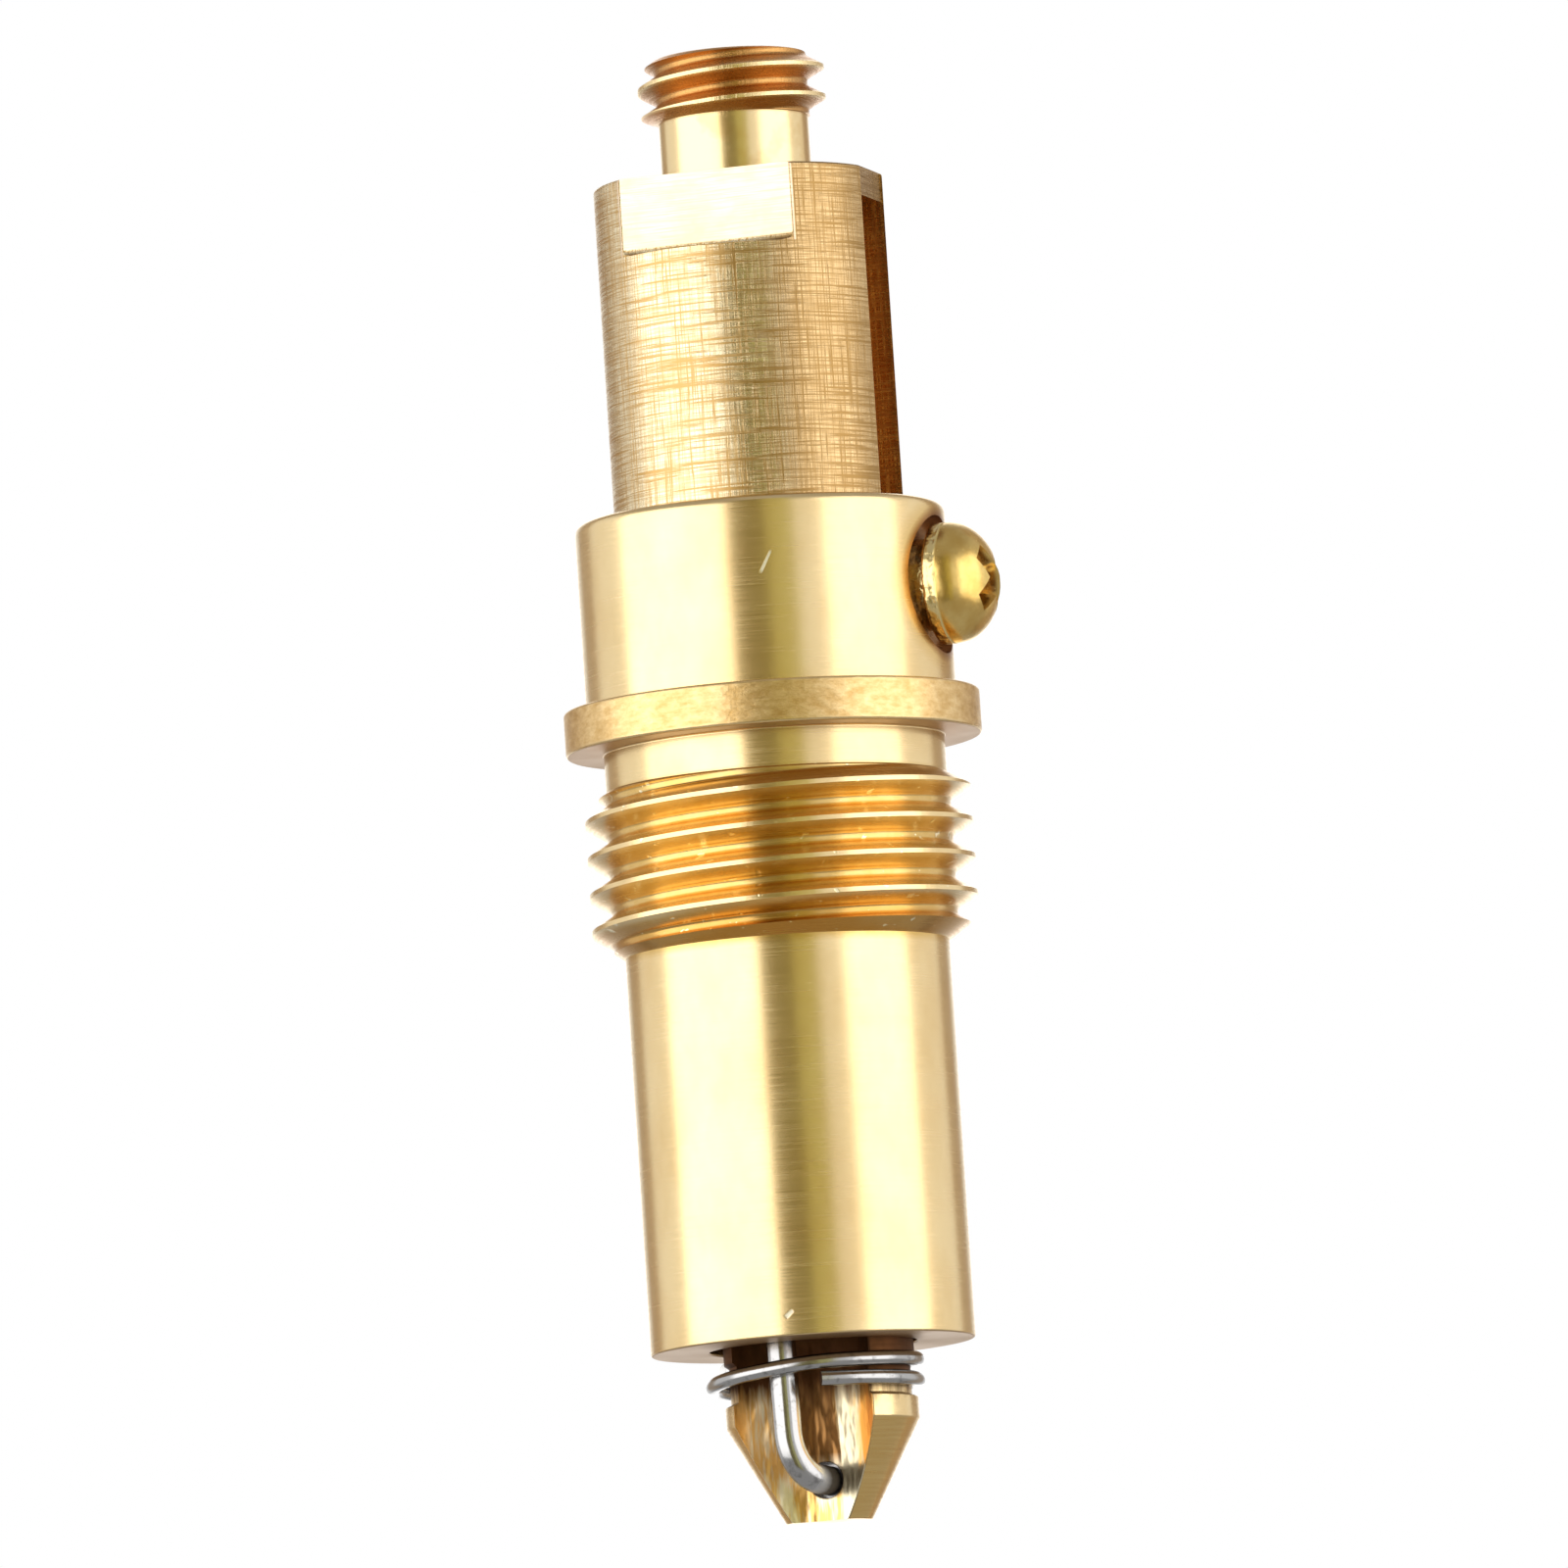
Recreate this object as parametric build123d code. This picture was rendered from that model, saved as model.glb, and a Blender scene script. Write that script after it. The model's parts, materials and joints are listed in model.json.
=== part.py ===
"""Click-clack waste plug cartridge: a spring-loaded plunger in a threaded sleeve, locked by a heart-shaped cam."""

import os
from math import cos, radians, sin, sqrt, tan

from build123d import *

# Millimetres. The origin is on the axis, in the plane of the flange's underside. +Z points to the cap stud.

# Sleeve
FLANGE_R = 8.55
FLANGE_TOP = 1.8
COLLAR_R = 7.6
COLLAR_TOP = 9.5
COLLAR_ROUND = 0.4
UNDERCUT_R = 7.0
SKIRT_R = 6.65
SKIRT_BOTTOM = -24.8
BORE_R = 6.0
LEDGE_Z = -22.0
TAIL_HOLE_R = 4.25

# Threads: each crest is a closed ring, so the pitch and both diameters are those of the real helix
FLANK_SLOPE = tan(radians(30))
BODY_CREST_R = 7.95
BODY_ROOT_R = 7.08
BODY_PITCH = 1.5
BODY_LOWEST_CREST = -8.0
BODY_CRESTS = 5
STUD_CREST_R = 3.86
STUD_ROOT_R = 3.15
STUD_PITCH = 1.25
STUD_LOWEST_CREST = 26.55
STUD_CRESTS = 2

# Plunger
PLUNGER_R = BORE_R - 0.05
PLUNGER_BOTTOM = 2.0
SHOULDER_Z = 23.35
FLATS_ACROSS = 9.3
FLATS_DEPTH = 3.25
NECK_R = 3.08
STUD_TOP = 28.6
STUD_END_R = 3.1
STROKE = 9.0

# Guide screw, along +X through the collar
SCREW_Z = 5.95
SCREW_PIN_R = 1.45
SCREW_PIN_END_X = 3.85
SCREW_HOLE_R = SCREW_PIN_R + 0.03
SCREW_SHOULDER_R = 1.9
SPOT_FACE_X = 7.05
SPOT_FACE_R = 2.85
HEAD_BACK_X = 7.5
HEAD_R = 2.5
HEAD_RIM_X = 8.4
HEAD_TOP_X = 10.0
SLOT_WIDTH = 2 * SCREW_PIN_R + 0.2
SLOT_FLOOR_X = 3.6
SLOT_BOTTOM = SCREW_Z - SCREW_PIN_R - 0.05
SLOT_TOP = SHOULDER_Z - 1.2
SLOT_RELIEF = 0.3

# Needle carrier
CARRIER_R = 4.03
CARRIER_FLANGE_R = 5.8
CARRIER_FLANGE_TOP = -20.8
RING_GROOVE_R = 3.7
LAND_TOP = -27.1
LAND_BOTTOM = -27.96
TIP_Z = -32.0
TIP_R = 1.75
FLUTE_R = 3.6
FLUTE_FLOOR_Y = -1.1

# Needle
NEEDLE_WIRE = 1.2
PIVOT_X = 0.5
PIVOT_Z = -30.35
PIVOT_HOLE_R = 0.75
PIVOT_LEG_END_Y = 1.2
LEG_BEND_Y = -2.35
LEG_BEND_TOP_Z = -28.05
NEEDLE_X = -0.75
NEEDLE_Y = -3.1
HOOK_Z = -8.0
HOOK_END_Y = -1.2
HOOK_BEND = 0.9

# Retaining ring: two turns of wire in the carrier's groove
RING_WIRE = 0.6
RING_INNER_R = 3.95
RING_BOTTOM = -26.75
RING_TURNS = 2
RING_START_ANGLE = -70

# Heart cam
CAM_R = 4.1
CAM_BOTTOM = -10.0
CAM_FLAT_Y = -2.25
CAM_SHANK_R = 2.5
CAM_SHANK_TOP = 8.0
TRACK_FLOOR_Y = -1.0
TRACK_HALF_WIDTH = 0.75

# Heart track, as (x, height above the resting hook). Pressed, the hook runs up the left lane; the next press
# sends it over the island's right peak and down the right lane.
HEART_ENTRY = (NEEDLE_X, 0)
HEART_TOP_LEFT = (-2.0, STROKE)
HEART_TOP_RIGHT = (2.0, STROKE)
HEART_RETURN = (0.6, 0.8)
HEART_ISLAND = [(0.1, 2.6), (-0.6, 5.6), (-0.65, 6.9), (0, 6.2), (0.75, 7.3), (0.95, 6.0)]

# Return spring
SPRING_WIRE = 0.9
SPRING_OUTER_R = 5.7
SPRING_TURNS = 8.5


def revolved(points):
    """A solid of revolution about Z from a closed outline of (radius, height) points."""
    outline = Polyline(*[(radius, 0, height) for radius, height in points], close=True)
    return revolve(make_face(outline), Axis.Z)


def along_x(radius, start, end, height):
    """A cylinder along X between two distances from the axis."""
    plane = Plane(origin=(start, 0, height), z_dir=(1, 0, 0))
    return extrude(plane * Circle(radius), end - start)


def along_y(radius, start, end, offset, height):
    """A cylinder along Y, at an offset along X."""
    plane = Plane(origin=(offset, start, height), z_dir=(0, 1, 0))
    return extrude(plane * Circle(radius), end - start)


def thread_outline(crest_r, root_r, pitch, lowest_crest, crests):
    """The (radius, height) points of V-shaped thread crests, from the lowest upwards."""
    half_crest = pitch / 16
    flank = (crest_r - root_r) * FLANK_SLOPE
    points = []
    for turn in range(crests):
        middle = lowest_crest + turn * pitch
        points += [
            (root_r, middle - half_crest - flank),
            (crest_r, middle - half_crest),
            (crest_r, middle + half_crest),
            (root_r, middle + half_crest + flank),
        ]
    return points


def rounded_corner(radius, height, size, steps=5):
    """Points of an outer top corner, rounded with the given size."""
    return [
        (radius - size + size * cos(radians(angle)), height - size + size * sin(radians(angle)))
        for angle in [90 * step / steps for step in range(steps + 1)]
    ]


def make_sleeve():
    """The threaded housing: skirt, male thread, flange and collar, bored from the top down to a ledge."""
    edge = 0.15
    thread = thread_outline(BODY_CREST_R, BODY_ROOT_R, BODY_PITCH, BODY_LOWEST_CREST, BODY_CRESTS)
    runout_low = thread[0][1] - (BODY_ROOT_R - SKIRT_R) * FLANK_SLOPE
    runout_high = thread[-1][1] + (BODY_ROOT_R - UNDERCUT_R) * FLANK_SLOPE
    body = revolved(
        [
            (TAIL_HOLE_R, SKIRT_BOTTOM),
            (SKIRT_R - edge, SKIRT_BOTTOM),
            (SKIRT_R, SKIRT_BOTTOM + edge),
            (SKIRT_R, runout_low),
            *thread,
            (UNDERCUT_R, runout_high),
            (UNDERCUT_R, 0),
            (FLANGE_R - edge, 0),
            (FLANGE_R, edge),
            (FLANGE_R, FLANGE_TOP - edge),
            (FLANGE_R - edge, FLANGE_TOP),
            (COLLAR_R, FLANGE_TOP),
            *rounded_corner(COLLAR_R, COLLAR_TOP, COLLAR_ROUND),
            (BORE_R + edge, COLLAR_TOP),
            (BORE_R, COLLAR_TOP - edge),
            (BORE_R, LEDGE_Z),
            (TAIL_HOLE_R, LEDGE_Z),
        ]
    )
    spot_face = along_x(SPOT_FACE_R, SPOT_FACE_X, FLANGE_R + 1, SCREW_Z)
    screw_hole = along_x(SCREW_HOLE_R, BORE_R - 1, FLANGE_R, SCREW_Z)
    return body - spot_face - screw_hole


def make_plunger():
    """The push plunger: guide body with a side slot and wrench flats, a neck and the cap's stud thread."""
    edge = 0.2
    thread = thread_outline(STUD_CREST_R, STUD_ROOT_R, STUD_PITCH, STUD_LOWEST_CREST, STUD_CRESTS)
    body = revolved(
        [
            (0, PLUNGER_BOTTOM),
            (PLUNGER_R - 2 * edge, PLUNGER_BOTTOM),
            (PLUNGER_R, PLUNGER_BOTTOM + 2 * edge),
            (PLUNGER_R, SHOULDER_Z - edge),
            (PLUNGER_R - edge, SHOULDER_Z),
            (NECK_R, SHOULDER_Z),
            (NECK_R, thread[0][1] - (STUD_ROOT_R - NECK_R) * FLANK_SLOPE),
            *thread,
            (STUD_END_R, STUD_TOP),
            (0, STUD_TOP),
        ]
    )
    flat_block = Box(3 * PLUNGER_R, PLUNGER_R, 2 * FLATS_DEPTH)
    for side in (1, -1):
        body -= Pos(0, side * (FLATS_ACROSS + PLUNGER_R) / 2, SHOULDER_Z) * flat_block
    slot = side_slot(SLOT_FLOOR_X, SLOT_BOTTOM, SLOT_TOP)
    relief = side_slot(PLUNGER_R - SLOT_RELIEF, SLOT_TOP, SHOULDER_Z)
    return body - slot - relief - cam_shank()


def side_slot(floor_x, bottom, top):
    """The space of a slot along the plunger's +X side, open outwards."""
    return Pos(floor_x + PLUNGER_R, 0, (bottom + top) / 2) * Box(2 * PLUNGER_R, SLOT_WIDTH, top - bottom)


def cam_shank():
    """The heart cam's shank, which fills the bore in the plunger's underside."""
    middle = (PLUNGER_BOTTOM + CAM_SHANK_TOP) / 2
    return Pos(0, 0, middle) * Cylinder(CAM_SHANK_R, CAM_SHANK_TOP - PLUNGER_BOTTOM)


def phillips_recess():
    """The cross recess of the screw's head: two tapered slots."""
    depth = 1.3
    arm_length = 2.8
    arm_width = 0.75
    top = Plane(origin=(HEAD_TOP_X + 0.01, 0, SCREW_Z), z_dir=(1, 0, 0))
    bottom = Plane(origin=(HEAD_TOP_X - depth, 0, SCREW_Z), z_dir=(1, 0, 0))
    across = loft([top * Rectangle(arm_length, arm_width), bottom * Rectangle(arm_length / 3, arm_width / 2)])
    upright = loft([top * Rectangle(arm_width, arm_length), bottom * Rectangle(arm_width / 2, arm_length / 3)])
    return across + upright


def make_guide_screw():
    """A pan-head screw whose plain end runs in the plunger's slot."""
    point = 0.2
    outline = Polyline(
        (SCREW_PIN_END_X, 0, 0),
        (SCREW_PIN_END_X, 0, SCREW_PIN_R - point),
        (SCREW_PIN_END_X + point, 0, SCREW_PIN_R),
        (SPOT_FACE_X, 0, SCREW_PIN_R),
        (SPOT_FACE_X, 0, SCREW_SHOULDER_R),
        (HEAD_BACK_X, 0, SCREW_SHOULDER_R),
        (HEAD_BACK_X, 0, HEAD_R),
        (HEAD_RIM_X, 0, HEAD_R),
    )
    on_dome = (HEAD_TOP_X - 0.45, 0, 0.64 * HEAD_R)
    dome = ThreePointArc((HEAD_RIM_X, 0, HEAD_R), on_dome, (HEAD_TOP_X, 0, 0))
    closing = Line((HEAD_TOP_X, 0, 0), (SCREW_PIN_END_X, 0, 0))
    turned = revolve(make_face(outline + dome + closing), Axis.X)
    return Pos(0, 0, SCREW_Z) * turned - phillips_recess()


def make_needle_carrier():
    """The tail piece: a flange on the sleeve's ledge, a ring groove, a cone and a flute for the needle."""
    edge = 0.1
    body = revolved(
        [
            (0, TIP_Z),
            (TIP_R, TIP_Z),
            (CARRIER_R, LAND_BOTTOM),
            (CARRIER_R, LAND_TOP),
            (RING_GROOVE_R, LAND_TOP + edge),
            (RING_GROOVE_R, SKIRT_BOTTOM - 3 * edge),
            (CARRIER_R, SKIRT_BOTTOM),
            (CARRIER_R, LEDGE_Z),
            (CARRIER_FLANGE_R, LEDGE_Z),
            (CARRIER_FLANGE_R, CARRIER_FLANGE_TOP),
            (0, CARRIER_FLANGE_TOP),
        ]
    )
    flute_middle = (TIP_Z + CARRIER_FLANGE_TOP) / 2
    flute = Pos(0, FLUTE_FLOOR_Y - FLUTE_R, flute_middle) * Cylinder(FLUTE_R, CARRIER_FLANGE_TOP - TIP_Z + 2)
    pivot_hole = along_y(PIVOT_HOLE_R, -CARRIER_R, CARRIER_R, PIVOT_X, PIVOT_Z)
    return body - flute - pivot_hole


def make_needle():
    """The steel needle: a lower leg in the carrier's hole and an upper hook in the cam track."""
    route = FilletPolyline(
        (PIVOT_X, PIVOT_LEG_END_Y, PIVOT_Z),
        (PIVOT_X, LEG_BEND_Y, PIVOT_Z),
        (NEEDLE_X, NEEDLE_Y, LEG_BEND_TOP_Z),
        (NEEDLE_X, NEEDLE_Y, HOOK_Z),
        (NEEDLE_X, HOOK_END_Y, HOOK_Z),
        radius=HOOK_BEND,
    )
    start = Plane(origin=(PIVOT_X, PIVOT_LEG_END_Y, PIVOT_Z), z_dir=(0, -1, 0))
    return sweep(start * Circle(NEEDLE_WIRE / 2), path=route, transition=Transition.ROUND)


def coil(mean_r, wire, pitch, turns, bottom):
    """A round-wire helix about Z, standing on the given height."""
    first = bottom + wire / 2
    path = Helix(pitch=pitch, height=pitch * turns, radius=mean_r, center=(0, 0, first))
    section = Plane(origin=path @ 0, z_dir=path % 0) * Circle(wire / 2)
    return sweep(section, path=path, is_frenet=True)


def make_retaining_ring():
    """The wire ring that stops the carrier and the needle from rising into the sleeve."""
    ring = coil(RING_INNER_R + RING_WIRE / 2, RING_WIRE, RING_WIRE + 0.02, RING_TURNS, RING_BOTTOM)
    return ring.rotate(Axis.Z, RING_START_ANGLE)


def make_return_spring():
    """The compression spring between the carrier's flange and the plunger's underside."""
    travel = PLUNGER_BOTTOM - CARRIER_FLANGE_TOP - SPRING_WIRE
    mean_r = SPRING_OUTER_R - SPRING_WIRE / 2
    return coil(mean_r, SPRING_WIRE, travel / SPRING_TURNS, SPRING_TURNS, CARRIER_FLANGE_TOP)


def lane(start, end):
    """A straight stretch of the cam track, on the plane of the cam's flat."""
    middle = ((start[0] + end[0]) / 2, (start[1] + end[1]) / 2)
    run = sqrt((end[0] - start[0]) ** 2 + (end[1] - start[1]) ** 2)
    direction = Plane(origin=(*middle, 0), x_dir=(end[0] - start[0], end[1] - start[1], 0), z_dir=(0, 0, 1))
    return direction * SlotCenterToCenter(run, 2 * TRACK_HALF_WIDTH)


def heart_track():
    """The closed heart-shaped track round an island, whose upper notch holds the hook when locked."""
    corners = [HEART_ENTRY, HEART_TOP_LEFT, HEART_TOP_RIGHT, HEART_RETURN]
    track = make_face(Polyline(*corners, close=True))
    for start, end in zip(corners, corners[1:] + corners[:1]):
        track += lane(start, end)
    return track - make_face(Polyline(*HEART_ISLAND, close=True))


def make_heart_cam():
    """The cam stem on the plunger's underside, with the track milled in its flat."""
    stem = Pos(0, 0, (CAM_BOTTOM + PLUNGER_BOTTOM) / 2) * Cylinder(CAM_R, PLUNGER_BOTTOM - CAM_BOTTOM)
    flat = Pos(0, CAM_FLAT_Y - CAM_R, CAM_BOTTOM) * Box(3 * CAM_R, 2 * CAM_R, 2 * (PLUNGER_BOTTOM - CAM_BOTTOM))
    track_plane = Plane(origin=(0, TRACK_FLOOR_Y, HOOK_Z), x_dir=(1, 0, 0), z_dir=(0, -1, 0))
    track = extrude(track_plane * heart_track(), CAM_R)
    return stem + cam_shank() - flat - track


def main():
    os.makedirs("parts", exist_ok=True)
    pieces = {
        "sleeve": make_sleeve(),
        "plunger": make_plunger(),
        "heart_cam": make_heart_cam(),
        "guide_screw": make_guide_screw(),
        "return_spring": make_return_spring(),
        "needle_carrier": make_needle_carrier(),
        "needle": make_needle(),
        "retaining_ring": make_retaining_ring(),
    }
    for name, piece in pieces.items():
        export_step(piece, f"parts/{name}.step")


main()
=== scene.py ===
"""Looks of a click-clack waste plug cartridge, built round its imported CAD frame."""

import json
from math import cos, pi, radians, sin, sqrt, tan

import bmesh
import bpy
from mathutils import Matrix, Vector, noise


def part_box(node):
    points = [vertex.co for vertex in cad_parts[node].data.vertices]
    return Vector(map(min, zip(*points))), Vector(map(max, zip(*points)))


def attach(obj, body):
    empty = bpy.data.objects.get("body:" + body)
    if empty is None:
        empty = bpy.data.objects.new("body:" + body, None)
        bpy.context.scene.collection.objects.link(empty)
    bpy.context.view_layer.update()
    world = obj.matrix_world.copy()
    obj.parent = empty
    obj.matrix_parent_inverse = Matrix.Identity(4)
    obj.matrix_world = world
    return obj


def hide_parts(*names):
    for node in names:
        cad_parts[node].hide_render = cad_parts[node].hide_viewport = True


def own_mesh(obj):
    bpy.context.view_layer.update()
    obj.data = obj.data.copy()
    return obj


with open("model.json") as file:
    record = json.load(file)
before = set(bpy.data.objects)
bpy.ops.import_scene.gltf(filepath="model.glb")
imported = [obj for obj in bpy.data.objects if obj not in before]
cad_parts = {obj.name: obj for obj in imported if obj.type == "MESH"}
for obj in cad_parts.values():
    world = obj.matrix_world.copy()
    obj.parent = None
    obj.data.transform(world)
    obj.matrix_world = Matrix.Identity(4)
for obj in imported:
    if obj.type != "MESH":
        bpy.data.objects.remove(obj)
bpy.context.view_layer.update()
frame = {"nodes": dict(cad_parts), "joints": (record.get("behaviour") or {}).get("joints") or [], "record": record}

# Meshes are made in millimetres, where the boolean cuts are exact, and scaled to metres when placed
MM = 0.001


def box_mm(node):
    """A CAD node's lowest and highest corners at rest, in millimetres."""
    return [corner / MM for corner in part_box(node)]


# Places and sizes, in millimetres. The frame gives the outer ones. The rest are measured on the photo, or
# guessed where it shows nothing
MOUNTS = {mount["name"]: mount for mount in frame["record"]["mounts"]}
SLEEVE_LOW, SLEEVE_HIGH = box_mm("sleeve")
PLUNGER_LOW, PLUNGER_HIGH = box_mm("plunger")
SCREW_LOW, SCREW_HIGH = box_mm("guide_screw")
CARRIER_LOW, CARRIER_HIGH = box_mm("needle_carrier")
NEEDLE_LOW, NEEDLE_HIGH = box_mm("needle")
RING_LOW, RING_HIGH = box_mm("retaining_ring")
SPRING_LOW, SPRING_HIGH = box_mm("return_spring")

BODY_CREST_R = MOUNTS["body_thread"]["dims"]["r_mm"]
STUD_CREST_R = MOUNTS["cap_stud"]["dims"]["r_mm"]
PIVOT = Vector(next(j["pos_m"] for j in frame["joints"] if j["name"] == "needle_swing")) / MM

# Sleeve
FLANGE_R = SLEEVE_HIGH.x
FLANGE_TOP = 1.8
COLLAR_R = FLANGE_R - 0.95
COLLAR_TOP = SLEEVE_HIGH.z
SKIRT_R = FLANGE_R - 1.9
SKIRT_BOTTOM = SLEEVE_LOW.z
UNDERCUT_R = FLANGE_R - 1.55
UNDERCUT_HEIGHT = 1.6
BORE_R = PLUNGER_HIGH.x + 0.05
LEDGE_Z = SKIRT_BOTTOM + 2.8
TAIL_HOLE_R = 4.25
BODY_ROOT_R = BODY_CREST_R - 0.87
BODY_PITCH = 1.5
BODY_THREAD_LENGTH = 6.85
BODY_THREAD_SHIFT = -0.46
RUNOUT_ANGLE = 35

# Plunger
PLUNGER_R = PLUNGER_HIGH.x
SHOULDER_Z = PLUNGER_HIGH.z - 5.25
NECK_R = 3.08
NECK_HEIGHT = 2.6
STUD_ROOT_R = STUD_CREST_R - 0.72
STUD_PITCH = 1.25
STUD_END_R = 3.1
STUD_LEAD_IN = 0.3
STUD_CHAMFER = 0.5
STUD_THREAD_SHIFT = 0.46
STUD_THREAD_TURNS = 4.6
FLATS_ACROSS = 9.3
FLATS_DEPTH = 3.25
FLATS_CORNER = 0.35
FLATS_CUTTER_ROOM = 0.24
SCREW_Z = (SCREW_LOW.z + SCREW_HIGH.z) / 2
SLOT_FLOOR_X = 3.6
SLOT_WIDTH = 3.1
SLOT_TOP = SHOULDER_Z - 1.2
SLOT_BOTTOM = SCREW_Z - 1.5
SLOT_RELIEF = 0.3

# Guide screw
HEAD_R = SCREW_HIGH.z - SCREW_Z
HEAD_TOP_X = SCREW_HIGH.x
HEAD_BACK_X = HEAD_TOP_X - 2.5
HEAD_RIM_X = HEAD_BACK_X + 0.55
SPOT_FACE_X = HEAD_BACK_X - 0.45
SPOT_FACE_R = HEAD_R + 0.35
SCREW_PIN_R = 1.45
SCREW_SHOULDER_R = 1.9
SCREW_CLEARANCE = 0.03

# Needle carrier. It sits a little off the axis, and its ring groove starts lower than in the CAD part
CARRIER_FLANGE_R = CARRIER_HIGH.x
CARRIER_R = 3.95
CARRIER_LEAN = Vector((0.19, 0.06, 0))
UPPER_LAND_R = CARRIER_R - 0.05
UPPER_LAND_BOTTOM = SKIRT_BOTTOM - 0.55
RING_GROOVE_R = 3.7
RING_GROOVE_TOP = SKIRT_BOTTOM - 0.7
TIP_R = 1.75
TIP_Z = CARRIER_LOW.z
LAND_BOTTOM = TIP_Z + 4.04
LAND_TOP = TIP_Z + 4.9
FLUTE_R = 3.6
FLUTE_Y = -4.7
PIVOT_HOLE_R = 0.75

# Wires. The needle's lower half leans, and the ring's wire is a little thicker than in the CAD part
NEEDLE_WIRE = 1.2
NEEDLE_LEAN = 0.38
RING_WIRE = 0.62
RING_START = -70
SPRING_WIRE = 0.9

# Faces round a turned piece, and the angle in degrees beyond which an edge is broken
AROUND = 192
EDGE_ANGLE = 35


# Mesh making


def piece_from(name, bm):
    """A new object from a bmesh, with its faces turned outwards."""
    bm.normal_update()
    bmesh.ops.recalc_face_normals(bm, faces=bm.faces[:])
    mesh = bpy.data.meshes.new(name)
    bm.to_mesh(mesh)
    bm.free()
    piece = bpy.data.objects.new(name, mesh)
    bpy.context.scene.collection.objects.link(piece)
    return piece


def rounded(corners, steps=4):
    """Outline points from (radius, height, rounding) corners. Each rounding is a short curve."""
    points = []
    count = len(corners)
    for index, (radius, height, size) in enumerate(corners):
        corner = Vector((radius, height))
        if size == 0:
            points.append(corner)
            continue
        before = Vector(corners[index - 1][:2]) - corner
        after = Vector(corners[(index + 1) % count][:2]) - corner
        start = corner + before.normalized() * size
        end = corner + after.normalized() * size
        for step in range(steps + 1):
            t = step / steps
            points.append(start * (1 - t) ** 2 + corner * 2 * t * (1 - t) + end * t**2)
    return points


def join_rings(bm, low, high):
    """Faces between two rings of vertices, either of which may be a single point."""
    count = max(len(low), len(high))
    for index in range(count):
        after = (index + 1) % count
        corners = [
            low[index % len(low)],
            low[after % len(low)],
            high[after % len(high)],
            high[index % len(high)],
        ]
        bm.faces.new(list(dict.fromkeys(corners)))


def turned(name, outline, around=AROUND):
    """A solid turned about Z. An outline starts and ends on the axis, or else is closed on itself."""
    bm = bmesh.new()
    rings = []
    for radius, height in outline:
        if radius < 1e-6:
            rings.append([bm.verts.new((0, 0, height))])
            continue
        angles = [2 * pi * index / around for index in range(around)]
        rings.append([bm.verts.new((radius * cos(a), radius * sin(a), height)) for a in angles])
    for low, high in zip(rings, rings[1:]):
        join_rings(bm, low, high)
    if len(rings[0]) > 1:
        join_rings(bm, rings[-1], rings[0])
    return piece_from(name, bm)


def rod(radius, start, end, around):
    """A cylindrical cutter along Z between two heights."""
    return turned("cutter", [(0, start), (radius, start), (radius, end), (0, end)], around)


def helical_cutter(outline, pitch, bottom, turns):
    """A closed right-handed helical body with a cross-section of (radius, height) points."""
    bm = bmesh.new()
    rings = []
    for index in range(round(turns * AROUND) + 1):
        angle = 2 * pi * index / AROUND
        lift = bottom + pitch * index / AROUND
        rings.append([bm.verts.new((r * cos(angle), r * sin(angle), lift + h)) for r, h in outline])
    for low, high in zip(rings, rings[1:]):
        join_rings(bm, low, high)
    bm.faces.new(rings[0])
    bm.faces.new(rings[-1])
    return piece_from("cutter", bm)


def thread_groove(crest_r, root_r, pitch):
    """The (radius, height) outline of a 60 degree thread groove with a rounded root, about height 0."""
    flank = tan(radians(30))
    half_crest_flat = pitch / 16
    outer_r = crest_r + 0.07 * pitch
    half_at_crest = pitch / 2 - half_crest_flat
    half_outer = half_at_crest + (outer_r - crest_r) * flank
    half_root = half_at_crest - (crest_r - root_r) * flank
    rounding = half_root * 0.8
    return rounded(
        [
            (outer_r, -half_outer, 0),
            (root_r, -half_root, rounding),
            (root_r, half_root, rounding),
            (outer_r, half_outer, 0),
        ],
        steps=3,
    )


def block(low, high):
    """A rectangular cutter between two corners."""
    bm = bmesh.new()
    bmesh.ops.create_cube(bm, size=1)
    for vert in bm.verts:
        vert.co = Vector([(a + b) / 2 + c * abs(b - a) for a, b, c in zip(low, high, vert.co)])
    return piece_from("cutter", bm)


def keep_changes(piece):
    """Applies the piece's modifiers to its mesh."""
    bpy.context.view_layer.update()
    graph = bpy.context.evaluated_depsgraph_get()
    finished = bpy.data.meshes.new_from_object(piece.evaluated_get(graph))
    piece.modifiers.clear()
    piece.data = finished


def cut(piece, cutter):
    """Takes the cutter's volume out of the piece."""
    boolean = piece.modifiers.new("cut", "BOOLEAN")
    boolean.operation = "DIFFERENCE"
    boolean.solver = "EXACT"
    boolean.object = cutter
    keep_changes(piece)
    bpy.data.objects.remove(cutter)


def break_edges(piece, width):
    """Rounds the sharp edges, as tumbling or deburring does."""
    bevel = piece.modifiers.new("edges", "BEVEL")
    bevel.width = width
    bevel.segments = 2
    bevel.limit_method = "ANGLE"
    bevel.angle_limit = radians(EDGE_ANGLE)
    bevel.use_clamp_overlap = True
    keep_changes(piece)


def smooth(piece, angle=32):
    """Smooth shading led by the larger faces, with a crease where faces meet at more than an angle."""
    piece.data.shade_smooth()
    piece.data.set_sharp_from_angle(angle=radians(angle))
    weighted = piece.modifiers.new("normals", "WEIGHTED_NORMAL")
    weighted.keep_sharp = True
    keep_changes(piece)


def lay_along_x(piece, height):
    """Turns a piece made along Z so that it lies along X at a height."""
    piece.data.transform(Matrix.Translation((0, 0, height)) @ Matrix.Rotation(pi / 2, 4, "Y"))


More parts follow.
